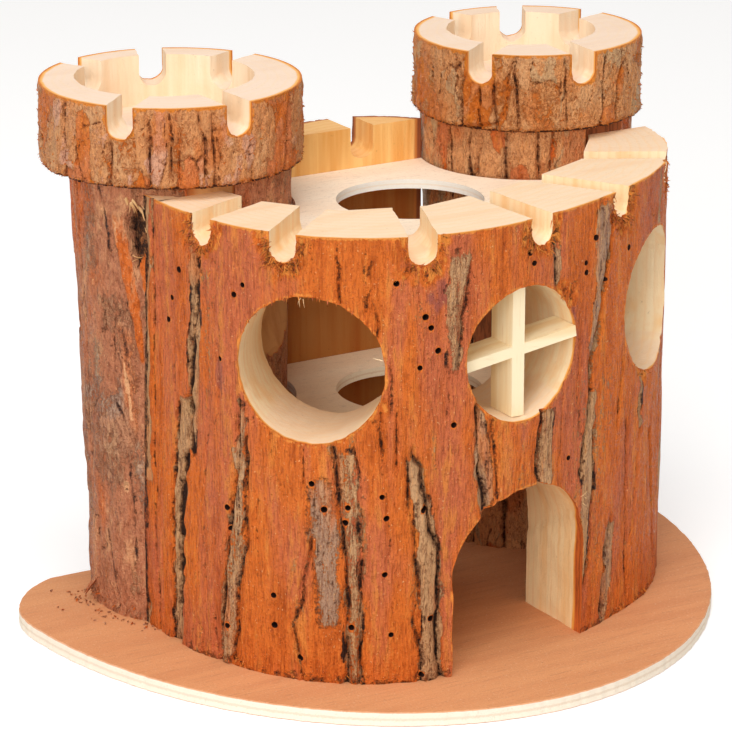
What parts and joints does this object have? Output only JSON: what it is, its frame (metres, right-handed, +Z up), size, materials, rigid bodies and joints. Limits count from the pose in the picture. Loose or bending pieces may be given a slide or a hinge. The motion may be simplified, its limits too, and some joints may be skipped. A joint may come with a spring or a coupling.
{
  "type": "wooden hamster house",
  "caption": "Log-built castle house for hamsters: bark-covered half-log front with arched door and round windows, log towers with notched crowns, plywood base, floor and roof.",
  "frame": {"origin": "underside of the base board, at the middle of its width and of its depth", "axes": "+X to the right along the straight back edge seen from the door side, -Y towards the door side, +Z up"},
  "size_m": [0.1976, 0.1529, 0.1486],
  "materials": {
    "bark": "rough natural bark, orange-brown",
    "crown_bark": "rough scaly bark, brown, with pale sawn faces",
    "slab": "sawn face, ochre, bark on the back",
    "plywood": "bare veneer, matt",
    "lath": "bare planed lath, matt",
    "brad_steel": "bright wire"
  },
  "bodies": {
    "root": {"base_plate": "plywood", "front_wall": "bark", "back_wall": "slab", "left_tower": "bark", "right_tower": "bark", "left_crown": "crown_bark", "right_crown": "crown_bark", "mid_floor": "plywood", "roof_plate": "plywood", "window_upright": "lath", "window_crossbar": "lath", "base_brads": "brad_steel", "end_brads": "brad_steel", "crown_brads": "brad_steel"}
  },
  "joints": []
}
